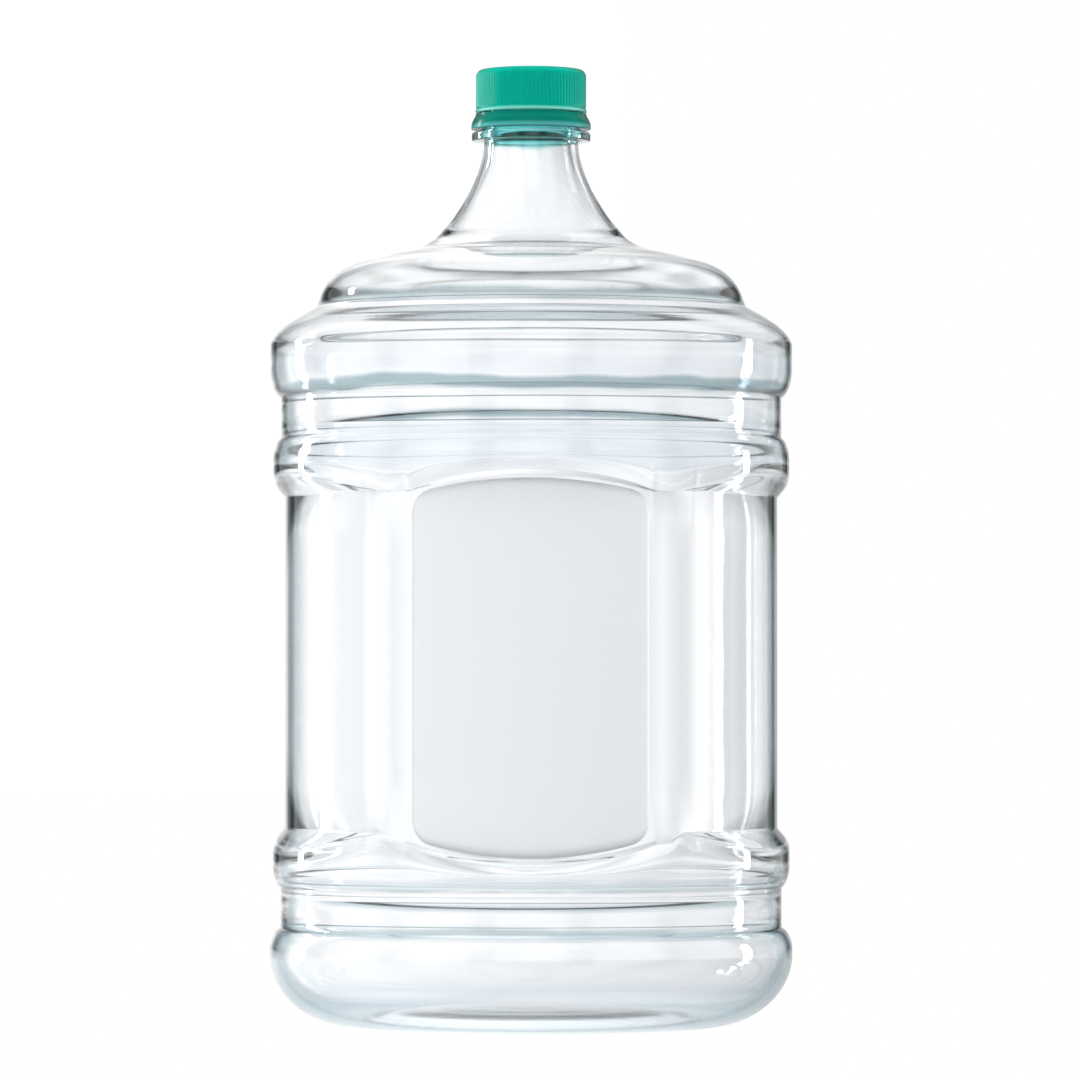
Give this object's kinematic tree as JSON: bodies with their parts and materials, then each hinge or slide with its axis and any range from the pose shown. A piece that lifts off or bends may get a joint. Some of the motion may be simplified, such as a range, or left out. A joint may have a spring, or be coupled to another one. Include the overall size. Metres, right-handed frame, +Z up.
{
  "type": "large water jug",
  "caption": "Large clear blow-moulded water jug with ringed body, recessed grip and label panels, narrow threaded neck and ribbed green screw cap over a tamper-evident ring.",
  "frame": {"origin": "on the jug's axis, at the plane it stands on", "axes": "+Z up along the jug's axis towards the cap; the label faces -Y; +X to the right seen from the label side"},
  "size_m": [0.27, 0.27, 0.495],
  "materials": {
    "clear_bottle": "clear, glossy",
    "green_cap": "satin",
    "white_liner": "soft, matt",
    "green_band": "satin",
    "label_film": "plain film"
  },
  "bodies": {
    "jug": {"bottle": "clear_bottle", "label": "label_film"},
    "band": {"tamper_band": "green_band"},
    "cap": {"cap_shell": "green_cap", "cap_liner": "white_liner"}
  },
  "joints": [
    {"name": "cap_turn", "type": "hinge", "parent": "jug", "child": "band", "pos_m": [0, 0, 0.468], "axis": [0, 0, 1], "range_deg": [0, 900]},
    {"name": "cap_lift", "type": "slide", "parent": "band", "child": "cap", "axis": [0, 0, 1], "range_m": [0, 0.0301]}
  ],
  "couplings": [
    {"joint": "cap_lift", "follows": "cap_turn", "m_per_rad": 0.0019099}
  ]
}
